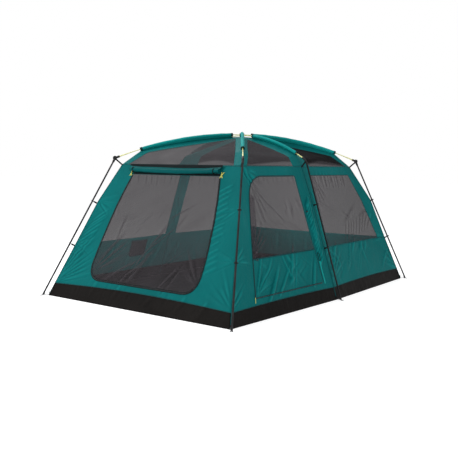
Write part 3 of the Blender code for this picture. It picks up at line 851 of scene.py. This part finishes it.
def make_floor():
    count = 96
    for name, kind in (("front", "end"), ("rear", "end"), ("right", "long"), ("left", "long")):
        half = corner_x if kind == "end" else corner_y
        top_z = BAND_TOP["corner"]
        bottom = resample([(-half(0.002), 0.002), (half(0.002), 0.002)], count)
        top = band_side(kind, (-half(top_z), half(top_z)), count)
        sides = [bottom, resample([bottom[-1], top[-1]], 12), top[::-1], resample([top[0], bottom[0]], 12)]
        band = lay(f"floor_band_{name}_cloth", name, coons(sides), POLY,
                   replaces=[f"floor_band_{name}"])
        declare(band, 2 * half(0.002), 0.20)
        tape(f"floor_band_{name}_seam", name, top, 0.008, 0.0011, BINDING)
    columns, rows = 48, 72
    u, v = np.meshgrid(np.linspace(-1, 1, columns), np.linspace(-1, 1, rows))
    y = v * (FLOOR_Y + 0.001)
    x = u * (lerp(FLOOR_MID_X, FLOOR_X, np.abs(v)) + 0.001)
    wrinkle = noise_field(np.stack([x * 2.2, y * 2.2, np.full_like(x, 3.1)], axis=-1))
    edge = np.clip((1 - np.maximum(np.abs(u), np.abs(v))) * 12, 0, 1)
    points = np.stack([x, y, 0.0010 + np.clip(wrinkle, 0, 1) * 0.014 * edge], axis=-1)
    sheet = surface("floor_cloth", points, POLY, np.stack([x, y], axis=-1), wall=CLOTH)
    place(sheet, "tent", ["floor_sheet"])
    declare(sheet, 3.02, 4.28)


# ---------------------------------------------------------------- roof

# Poles: height at the peak, spacing where they cross, and the elbows' height. Ribs: height at the
# peak, drop to the eave, and sag. The roof's cloth strips widen from their first width to the second.
PEAK_Z = 2.080
POLE_STACK = 0.012
ELBOW_Z = 1.743
RIB_Z = 2.052
RIB_DROP = {"corner": 0.3250, "middle": 0.3308}
SLEEVE_SPAN = {"corner": (0.085, 0.800), "middle": (0.180, 0.850)}
LEVELS = {"front_left": 0, "rear_right": 0, "front_right": 1, "rear_left": 1, "middle_left": -1,
          "middle_right": -1}
STRIP = {"corner": (0.105, 0.110), "middle": (0.085, 0.210)}
RIB_START = 0.012
RIB_SAG = 0.012
GORE_DIP = 0.060
SLEEVE_R = 0.0230


def span_kind(name):
    return "corner" if PLACES[name][1] else "middle"


def leg_line(name):
    """Foot and elbow ends of a leg's axis, from its CAD box."""
    low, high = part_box(f"leg_{name}")
    ends = []
    for top in (False, True):
        point = []
        for axis, sign in enumerate(PLACES[name]):
            outer, inner = (high, low) if sign > 0 else (low, high)
            edge = inner[axis] + sign * LEG_R if top else outer[axis] - sign * LEG_R
            point.append(edge if sign else 0.0)
        ends.append(np.array((*point, (high if top else low).z)))
    return ends


LEG_LINES = {name: leg_line(name) for name in PLACES}


def on_leg(name, z):
    foot, top = LEG_LINES[name]
    return foot + (top - foot) * (z - foot[2]) / (top[2] - foot[2])


ELBOWS = {name: on_leg(name, ELBOW_Z) for name in PLACES}


def pole_point(name, t):
    t = np.asarray(t, float)
    peak = PEAK_Z + LEVELS[name] * POLE_STACK
    x, y, _ = ELBOWS[name]
    return np.stack([x * t, y * t, peak - (peak - ELBOW_Z) * t * t], axis=-1)


def eave_corner(name):
    side_x, side_y = PLACES[name]
    return np.array((side_x * EAVE_X, side_y * EAVE_Y, EAVE_Z))


def rib_point(name, t):
    t = np.asarray(t, float)[..., None]
    kind = span_kind(name)
    end = SLEEVE_SPAN[kind][1]
    x, y, _ = ELBOWS[name]

    def arc(s):
        sag = RIB_SAG * np.sin(pi * np.clip(s / end, 0.0, 1.0))
        return np.concatenate([x * s, y * s, RIB_Z - RIB_DROP[kind] * s * s - sag], axis=-1)

    last = arc(np.array([end]))
    tail = last + (eave_corner(name) - last) * (t - end) / (1.0 - end)
    return np.where(t <= end, arc(t), tail)


def gore_point(first, second, u, t):
    """Roof cloth between two ribs: it dips a little between them."""
    left, right = rib_point(first, t), rib_point(second, t)
    point = left + (right - left) * u[..., None]
    down = np.abs(np.sin(pi * np.clip(t, 0, 1) ** 1.15)) ** 0.8
    point[..., 2] -= GORE_DIP * (1.0 - np.abs(2.0 * u - 1.0) ** 6) * down
    return point


def strip_share(rib, first, second, t):
    """Share of a gore's width that one rib's strip takes; the middle ribs' strips widen downwards."""
    width = np.linalg.norm(rib_point(second, t) - rib_point(first, t), axis=-1)
    strip = lerp(*STRIP[span_kind(rib)], t * t)
    return np.minimum(0.5, strip / np.maximum(width, 1e-6))


def make_roof():
    rows = 56
    t = np.linspace(RIB_START, 1.0, rows)
    for index, name in enumerate(RING):
        before, after = RING[index - 1], RING[(index + 1) % 6]
        grid = []
        for step in range(-6, 7):
            share = abs(step) / 6
            if step <= 0:
                u = 1.0 - strip_share(name, before, name, t) * share
                grid.append(gore_point(before, name, u, t))
            else:
                grid.append(gore_point(name, after, strip_share(name, name, after, t) * share, t))
        points = np.stack(grid, axis=1)
        strip = surface(f"roof_strip_{name}", points, TEAL, wall=CLOTH, flip=True)
        place(strip)
        declare(strip, 0.22, 1.75)
    labels = ("front", "right_front", "right_rear", "rear", "left_rear", "left_front")
    for index, label in enumerate(labels):
        make_gore_net(label, RING[index], RING[(index + 1) % 6], index)


def make_gore_net(label, first, second, seed):
    """Net of one roof gore. The gores beside a rear rib are denser above an arched edge, and darkened there
    with painted shade.
    """
    width = np.linalg.norm(rib_point(second, np.array(1.0)) - rib_point(first, np.array(1.0)))
    start = (STRIP[span_kind(first)][0] + STRIP[span_kind(second)][0]) / width * 1.02
    across, down = np.linspace(0, 1, 40), np.linspace(0, 1, 44)
    t = lerp(start, 1.0, down)
    left, right = strip_share(first, first, second, t), strip_share(second, first, second, t)
    u = left[:, None] + across[None] * (1 - left - right)[:, None]
    points = gore_point(first, second, u, np.broadcast_to(t[:, None], u.shape))
    edge = np.sin(pi * across)[None] * np.sin(pi * down)[:, None]
    bunch = noise_field(points * np.array((4, 4, 9)) + np.array((seed * 7, 0, 0)))
    points[..., 2] += bunch * edge * 0.020
    net = surface(f"roof_net_{label}", points, NET, fold=np.clip(0.5 + bunch * 0.35, 0, 1), flip=True)
    if PLACES[first][1] + PLACES[second][1] > 0:
        edge_t = 0.875 + 0.11 * np.abs(2.0 * u - 1.0) ** 1.6
        # Above the arched edge the net is made more opaque and painted near black as shade.
        point_attribute(net.data, "dense_shaded", 1.0 - smooth((t[:, None] - edge_t) / 0.05))
    place(net, "tent", [f"roof_gore_{label}"])
    declare(net, width, float(np.linalg.norm(points[-1, 20] - points[0, 20])))


def make_sleeves():
    """A pole sleeve is a flat tube of cloth: round over the pole, and sewn to the rib below it."""
    for name in PLACES:
        start, end = SLEEVE_SPAN[span_kind(name)]
        t = np.linspace(start, end, 64)
        pole, rib = pole_point(name, t), rib_point(name, t)
        angles = np.radians(np.linspace(-50, 230, 15))
        section = np.zeros((len(t), 18, 2))
        for row in range(len(t)):
            s = (t[row] - start) / (end - start)
            puff = 1.0 + 0.10 * noise.noise(Vector((s * 16, 2.7 * LEVELS[name], sum(PLACES[name]) * 3.3)))
            radius = SLEEVE_R * puff
            section[row, :15, 0] = np.cos(angles) * radius
            section[row, :15, 1] = np.sin(angles) * radius * 0.95
            drop = (rib[row, 2] - pole[row, 2]) - 0.005
            section[row, 15] = (-0.0035, lerp(-radius, drop, 0.45))
            section[row, 16] = (0.0, drop)
            section[row, 17] = (0.0035, lerp(-radius, drop, 0.45))
        # The sleeves use the lighter teal copy: painted top light.
        sweep(f"pole_sleeve_{name}", pole, section, LIT_TEAL, caps=False,
              replaces=[f"sleeve_{name}"])
        for label, at in (("inner", start), ("outer", end)):
            near = pole_point(name, np.linspace(at - 0.008, at + 0.008, 5))
            hem = circle(SLEEVE_R + 0.0004, 16)
            sweep(f"sleeve_hem_{label}_{name}", near, hem, BINDING, caps=False, wall=0.001)


def make_eave_seams():
    """Bound seam where the roof meets the walls."""
    for name, wall in WALLS.items():
        half = EAVE_X if wall.end else EAVE_Y
        path = np.array([(-half + 0.012, EAVE_Z - 0.004), (half - 0.012, EAVE_Z - 0.004)])
        tape(f"eave_seam_{name}", name, path, 0.010, 0.0015, SEAM_TEAL)


def make_corner_seams():
    """Bound seams down the corners and down the middle of the long walls."""
    z = np.linspace(0.02, EAVE_Z - 0.004, 60)
    for name, (side_x, side_y) in PLACES.items():
        wall = WALLS["right" if side_x > 0 else "left"]
        a = side_y * (corner_y(z) - 0.0005) if side_y else np.zeros_like(z)
        path = wall.points(a, z, 0.0012)
        outward = (side_x, side_y * 0.9, 0.0)
        sweep(f"corner_seam_{name}", path, strap_section(0.010, 0.004), SEAM_TEAL, up=outward)


# ---------------------------------------------------------------- fittings

def wall_at_place(name, z, out=0.0):
    """Point on the seam that a leg's clip pulls on."""
    side_x, side_y = PLACES[name]
    wall = WALLS["right" if side_x > 0 else "left"]
    return wall.points(np.array(side_y * (corner_y(z) - 0.001)), np.array(z), out).reshape(3)


def make_clips():
    """Black clips on the legs, each sewn to the wall by a short strap."""
    for name in PLACES:
        foot, top = LEG_LINES[name]
        axis = (top - foot) / np.linalg.norm(top - foot)
        for label, z in (("low", CLIP_Z[0]), ("high", CLIP_Z[1])):
            centre = on_leg(name, z)
            seam = wall_at_place(name, z)
            inward = seam - centre
            inward -= axis * inward.dot(axis)
            reach = np.linalg.norm(inward)
            inward /= reach
            side = np.cross(axis, inward)
            angles = np.radians(np.linspace(38, 322, 22))
            arc = [centre + (inward * cos(a) + side * sin(a)) * (LEG_R + 0.0034) for a in angles]
            lips = [centre + inward * 0.021 + side * 0.0085, centre + inward * 0.021 - side * 0.0085]
            path = resample([lips[0], *arc, lips[1]], 40)
            sweep(f"clip_{label}_{name}", path, strap_section(0.022, 0.0042), PLASTIC,
                  up=axis)
            body = np.array([centre + inward * d for d in np.linspace(0.0165, 0.034, 6)])
            sweep(f"clip_bridge_{label}_{name}", body, strap_section(0.018, 0.012), PLASTIC,
                  up=side)
            strap = np.array([centre + inward * lerp(0.028, reach + 0.004, s) for s in np.linspace(0, 1, 8)])
            sweep(f"clip_strap_{label}_{name}", strap, strap_section(0.020, 0.0022), WEBBING,
                  up=side)


def make_straps():
    """Webbing from each elbow to the eave, and from each base corner to its foot ring."""
    for name, (side_x, side_y) in PLACES.items():
        elbow = ELBOWS[name]
        eave = eave_corner(name)
        outward = np.array((side_x, side_y, 0.0)) / np.hypot(side_x, side_y)
        start = elbow - outward * 0.006 - UP * 0.012
        path = resample([start, lerp(start, eave, 0.5) - UP * 0.004, eave - UP * 0.012], 14)
        across = np.cross(outward, UP)
        sweep(f"eave_strap_{name}", path, circle(0.0100, 10), WEBBING,
              up=np.cross(across, path[-1] - path[0]))
        loop = [elbow + (UP * sin(a) + outward * cos(a)) * 0.0185 for a in np.linspace(0, 2 * pi, 18)]
        sweep(f"eave_strap_loop_{name}", loop, strap_section(0.018, 0.0022), WEBBING, up=across,
              caps=False)
        foot = LEG_LINES[name][0]
        corner = wall_at_place(name, 0.012, 0.002)
        ring = foot + outward * 0.020
        ring[2] = 0.006
        path = resample([corner, lerp(corner, ring, 0.5) + UP * 0.001, ring], 12)
        sweep(f"foot_strap_{name}", path, strap_section(0.022, 0.0022), GREY_WEBBING, up=(0, 0, 1))
        lean = np.array((-side_x * 0.003, -side_y * 0.005, 0.0))
        tab = [corner + lean + UP * h for h in np.linspace(-0.006, 0.035, 6)]
        sweep(f"foot_tab_{name}", tab, strap_section(0.024, 0.0030), WEBBING, up=outward)
        cap = [foot + (LEG_LINES[name][1] - foot) * s for s in np.linspace(0.0, 0.019, 4)]
        sweep(f"foot_cap_{name}", cap, circle(LEG_R + 0.0022, 20), PLASTIC)


# ---------------------------------------------------------------- storm flap and small parts

# Unit directions: up and into the front wall, up each zip, and out of the right wall.
FRONT_UP = (0.0, 0.4440, 0.8960)
FRONT_IN = (0.0, 0.8960, -0.4440)
FRONT_ZIP_UP = (-0.1009, 0.4417, 0.8915)
SIDE_ZIP_UP = (-0.2810, 0.2632, 0.9229)
SIDE_OUT = (0.9597, 0.0771, 0.2702)


def make_storm_flap():
    """The front door's outer cloth, rolled up from below and held by a loop at each end."""
    rows, turns, tail = 90, 3.3, 8
    low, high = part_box("storm_flap_roll")
    centre_y = (low.y + high.y) / 2 + 0.001
    span = np.linspace(low.x + 0.004, high.x - 0.004, rows)
    share = np.linspace(0, 1, rows)
    bulge = np.sin(pi * share) ** 0.7
    lump = np.array([noise.noise(Vector((s * 7.0, 1.3, 0.4))) for s in share])
    twist = np.array([noise.noise(Vector((s * 3.0, 5.3, 2.4))) for s in share])
    radius = 0.0200 + 0.0085 * bulge + 0.0030 * lump
    height = 1.606 - 0.022 * bulge * (0.8 + 0.3 * share)
    angles = np.linspace(0, turns * 2 * pi, 110)
    fade = angles / angles[-1]
    points = np.zeros((rows, len(angles) + tail, 3))
    for row in range(rows):
        flute = [noise.noise(Vector((share[row] * 22, cos(a) * 0.9, sin(a) * 0.9 + 4))) for a in angles]
        r = radius[row] * (0.28 + 0.70 * fade) * (1 + 0.055 * np.array(flute))
        phase = angles + 0.35 * twist[row] + pi * 0.72 - turns * 2 * pi
        points[row, :len(angles), 0] = span[row]
        points[row, :len(angles), 1] = centre_y - np.cos(phase) * r * 0.86
        points[row, :len(angles), 2] = height[row] + np.sin(phase) * r
        last = points[row, len(angles) - 1]
        seam = WALLS["front"].points(span[row], 1.652, 0.0025).reshape(3)
        for step in range(tail):
            t = (step + 1) / tail
            slack = np.array((0, -0.006, 0.004)) * sin(pi * t)
            points[row, len(angles) + step] = lerp(last, seam, t) + slack
    # The roll uses the darker teal copy: painted shade.
    roll = surface("storm_flap_cloth", points, SHADED_ROLL_TEAL, wall=CLOTH)
    place(roll, "tent", ["storm_flap_roll"])
    declare(roll, 1.44, 0.45)
    for label, row in (("left", 4), ("right", rows - 6)):
        scale = radius[row] * 1.08
        loop = [(span[row], centre_y + y * 0.90, height[row] + z) for y, z in circle(scale, 26)]
        make_flap_tie(label, resample([*loop, loop[0]], 30))


def make_flap_tie(label, loop):
    """Loop round one end of the roll, with a cord from it and two crossed cords at the toggle."""
    sweep(f"flap_loop_{label}", loop, strap_section(0.014, 0.0020), WEBBING, up=(1, 0, 0),
          caps=False)
    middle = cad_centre(f"toggle_{label}")
    hang = resample([loop[len(loop) // 2 + 8], middle + np.array((0, -0.002, 0.010))], 10)
    sweep(f"flap_cord_{label}", hang, circle(0.0018, 8), WEBBING, up=(0, 1, 0))
    for end, lean in (("a", 1.0), ("b", -0.8)):
        a = middle[0] + lean * np.linspace(-0.020, 0.020, 9)
        z = middle[2] + np.linspace(-0.034, 0.030, 9)
        knot = WALLS["front"].points(a, z, 0.006 + 0.004 * np.cos(np.linspace(-pi / 2, pi / 2, 9)))
        sweep(f"flap_tie_{end}_{label}", knot, circle(0.0042, 8), YELLOW, up=(0, 1, 0))


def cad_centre(node):
    low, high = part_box(node)
    return np.array((low + high) / 2)


def rod(name, node, line, half, profile, material, up):
    """A short rod along line through a CAD node's centre, standing in for that node."""
    steps = np.linspace(-1, 1, len(profile))
    path = [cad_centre(node) + np.array(line) * half * s for s in steps]
    sweep(name, path, np.stack(profile), material, node, up=up, replaces=[node])


def make_toggles():
    """Yellow toggles: a barrel with a waist where its cord loop sits."""
    steps = np.linspace(-1, 1, 25)
    waist = 1 - 0.34 * np.exp(-(steps / 0.16) ** 2)
    radius = 0.0052 * np.sqrt(np.clip(1 - np.abs(steps) ** 6, 0.02, 1)) * waist
    for node in ("toggle_left", "toggle_right"):
        rod(f"{node}_barrel", node, FRONT_UP, 0.0195, [circle(r, 14) for r in radius], YELLOW,
            up=(1.0, 0.0, 0.0))


def make_zip_sliders():
    """Sliders with a raised bridge, and the side door's long yellow pull."""
    steps = np.linspace(-1, 1, 17)
    width = np.interp(steps, (-1, -0.6, 0.1, 1), (0.0036, 0.0050, 0.0052, 0.0040))
    depth = np.interp(steps, (-1, -0.5, 0.5, 1), (0.0022, 0.0034, 0.0034, 0.0020))
    body = [strap_section(2 * w, 2 * d) for w, d in zip(width, depth)]
    for node, line, out in (("side_zip_slider", SIDE_ZIP_UP, SIDE_OUT),
                            ("front_zip_slider", FRONT_ZIP_UP, FRONT_IN)):
        rod(f"{node}_body", node, line, 0.0112, body, PLASTIC, out)
    steps = np.linspace(-1, 1, 21)
    width = np.interp(steps, (-1, -0.8, 0.4, 0.85, 1), (0.0020, 0.0030, 0.0033, 0.0040, 0.0024))
    rod("side_zip_pull_tab", "side_zip_pull", -np.array(SIDE_ZIP_UP), 0.0320,
        [strap_section(2 * w, 0.0024) for w in width], YELLOW, SIDE_OUT)


def make_tie_back():
    """Loop and stitched strip beside the side door's hinge, for tying the open door back."""
    path = np.array([(-0.165, 0.22), (-0.165, 0.50)])
    # The strip is cut from the lighter teal copy, so its pale colour is a painted highlight.
    tape("tie_back_strip", "right", path, 0.024, 0.0016, LIT_TEAL)
    t = np.linspace(0, 1, 24)
    a = -0.165 + 0.016 * np.sin(2 * pi * t)
    z = 0.545 + 0.050 * np.cos(2 * pi * t)
    loop = WALLS["right"].points(a, z, 0.006)
    sweep("tie_back_loop", loop, strap_section(0.006, 0.0018), WEBBING, up=(1, 0, 0.3), caps=False)
    knot = WALLS["right"].points(np.linspace(-0.190, -0.160, 6), np.full(6, 1.10), 0.006)
    sweep("tie_back_toggle", knot, circle(0.0055, 12), PLASTIC, up=(1, 0, 0.3))


def make_pocket():
    """Flat net pocket inside the left wall, bound along its top and edges."""
    corners = ((-0.82, 0.37, 0.06), (-0.50, 0.37, 0.06), (-0.50, 0.60, 0.0), (-0.82, 0.60, 0.0))
    outline = resample_closed(rounded(corners), 160)
    sides = sides_of(outline, [c[:2] for c in corners], (24, 18))
    grid = coons(sides)
    belly = np.sin(pi * np.linspace(0, 1, 25))[None] * np.sin(pi / 2 * np.linspace(0, 1, 19))[:, None]
    wall = WALLS["left"]
    points = wall.points(grid[..., 0], grid[..., 1], -0.004 - 0.012 * belly)
    net = surface("inner_pocket_net", points, NET)
    place(net, "tent", ["inner_pocket"])
    declare(net, 0.33, 0.25)
    rim = np.vstack([sides[3], sides[0][1:], sides[1][1:]])
    tape("inner_pocket_binding", "left", rim, 0.010, -0.005, BINDING)
    tape("inner_pocket_top", "left", sides[2], 0.014, -0.008, BINDING, bulge=-0.008)


def dress_frame():
    """Give the CAD poles, legs, elbows, pins and peak tie their finish."""
    finishes = {"leg_": STEEL, "elbow_": PLASTIC, "foot_pin_": WIRE, "roof_pole_": GLASS_FIBRE,
                "peak_tie": WEBBING}
    for node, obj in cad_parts.items():
        for prefix, material in finishes.items():
            if node.startswith(prefix):
                for index in range(len(obj.material_slots)):
                    obj.material_slots[index].link = "OBJECT"
                    obj.material_slots[index].material = material


# ---------------------------------------------------------------- studio

# Camera place, its right, up and back directions, and its lens in millimetres.
CAMERA_AT = (5.621, -7.750, 1.686)
CAMERA_AXES = ((0.7988, 0.6015, 0.0128), (-0.0661, 0.0666, 0.9956), (0.598, -0.7961, 0.093))
LENS = 54.88


def add_light(name, kind, at, energy):
    """A light that the camera doesn't see."""
    light = bpy.data.lights.new(name, kind)
    light.energy = energy
    obj = bpy.data.objects.new(name, light)
    bpy.context.scene.collection.objects.link(obj)
    obj.location = at
    obj.visible_camera = False
    return obj


def make_world(scene):
    """White where the camera sees it, and a softer light on the object."""
    world = bpy.data.worlds.new("studio")
    scene.world = world
    world.use_nodes = True
    tree = world.node_tree
    white = tree.nodes["Background"]
    white.inputs[0].default_value = (1.0, 1.0, 1.0, 1.0)
    white.inputs[1].default_value = 1.0
    soft = tree.nodes.new("ShaderNodeBackground")
    soft.inputs[0].default_value = (0.96, 0.98, 1.0, 1.0)
    soft.inputs[1].default_value = 0.50
    seen = tree.nodes.new("ShaderNodeLightPath")
    both = tree.nodes.new("ShaderNodeMixShader")
    tree.links.new(seen.outputs["Is Camera Ray"], both.inputs[0])
    tree.links.new(soft.outputs[0], both.inputs[1])
    tree.links.new(white.outputs[0], both.inputs[2])
    tree.links.new(both.outputs[0], tree.nodes["World Output"].inputs[0])


def make_studio():
    scene = bpy.context.scene
    scene.view_settings.view_transform = "Standard"
    make_world(scene)
    mesh = bpy.data.meshes.new("studio_floor")
    square = [(x * 60.0, y * 60.0, 0) for x, y in ((-1, -1), (1, -1), (1, 1), (-1, 1))]
    mesh.from_pydata(square, [], [(0, 1, 2, 3)])
    floor = bpy.data.objects.new("studio_floor", mesh)
    scene.collection.objects.link(floor)
    shader = Shader("studio_floor", 0.95, specular=0.0)
    shader.surface.inputs["Base Color"].default_value = (0.60, 0.60, 0.60, 1.0)
    shader.surface.inputs["Emission Color"].default_value = (1.0, 1.0, 1.0, 1.0)
    shader.surface.inputs["Emission Strength"].default_value = 0.72
    mesh.materials.append(shader.material)

    for name, at, aim_z, energy, size in (
        ("key", (-5.5, -9.0, 8.0), 0.9, 640.0, 5.0),
        ("fill", (9.0, -3.0, 4.5), 0.9, 150.0, 6.0),
        ("top", (-2.5, 1.0, 7.0), 1.6, 260.0, 5.0),
    ):
        lamp = add_light(name, "AREA", at, energy)
        lamp.data.size = size
        lamp.rotation_mode = "QUATERNION"
        lamp.rotation_quaternion = (Vector((0.0, 0.0, aim_z)) - Vector(at)).to_track_quat("-Z", "Y")
    for name, y in (("inside_front", -0.9), ("inside_rear", 0.9)):
        lamp = add_light(name, "POINT", (0.0, y, 0.80), 72.0)
        lamp.data.shadow_soft_size = 0.5
        lamp.visible_glossy = False

    camera = bpy.data.objects.new("camera", bpy.data.cameras.new("camera"))
    scene.collection.objects.link(camera)
    camera.data.lens = LENS
    camera.data.sensor_width = 36.0
    camera.location = CAMERA_AT
    camera.rotation_mode = "QUATERNION"
    camera.rotation_quaternion = Matrix(CAMERA_AXES).transposed().to_quaternion()
    scene.camera = camera


make_studio()
dress_frame()
make_front_wall()
make_right_front_wall()
make_plain_walls()
make_floor()
make_roof()
make_sleeves()
make_eave_seams()
make_corner_seams()
make_clips()
make_straps()
make_storm_flap()
make_toggles()
make_zip_sliders()
make_tie_back()
make_pocket()
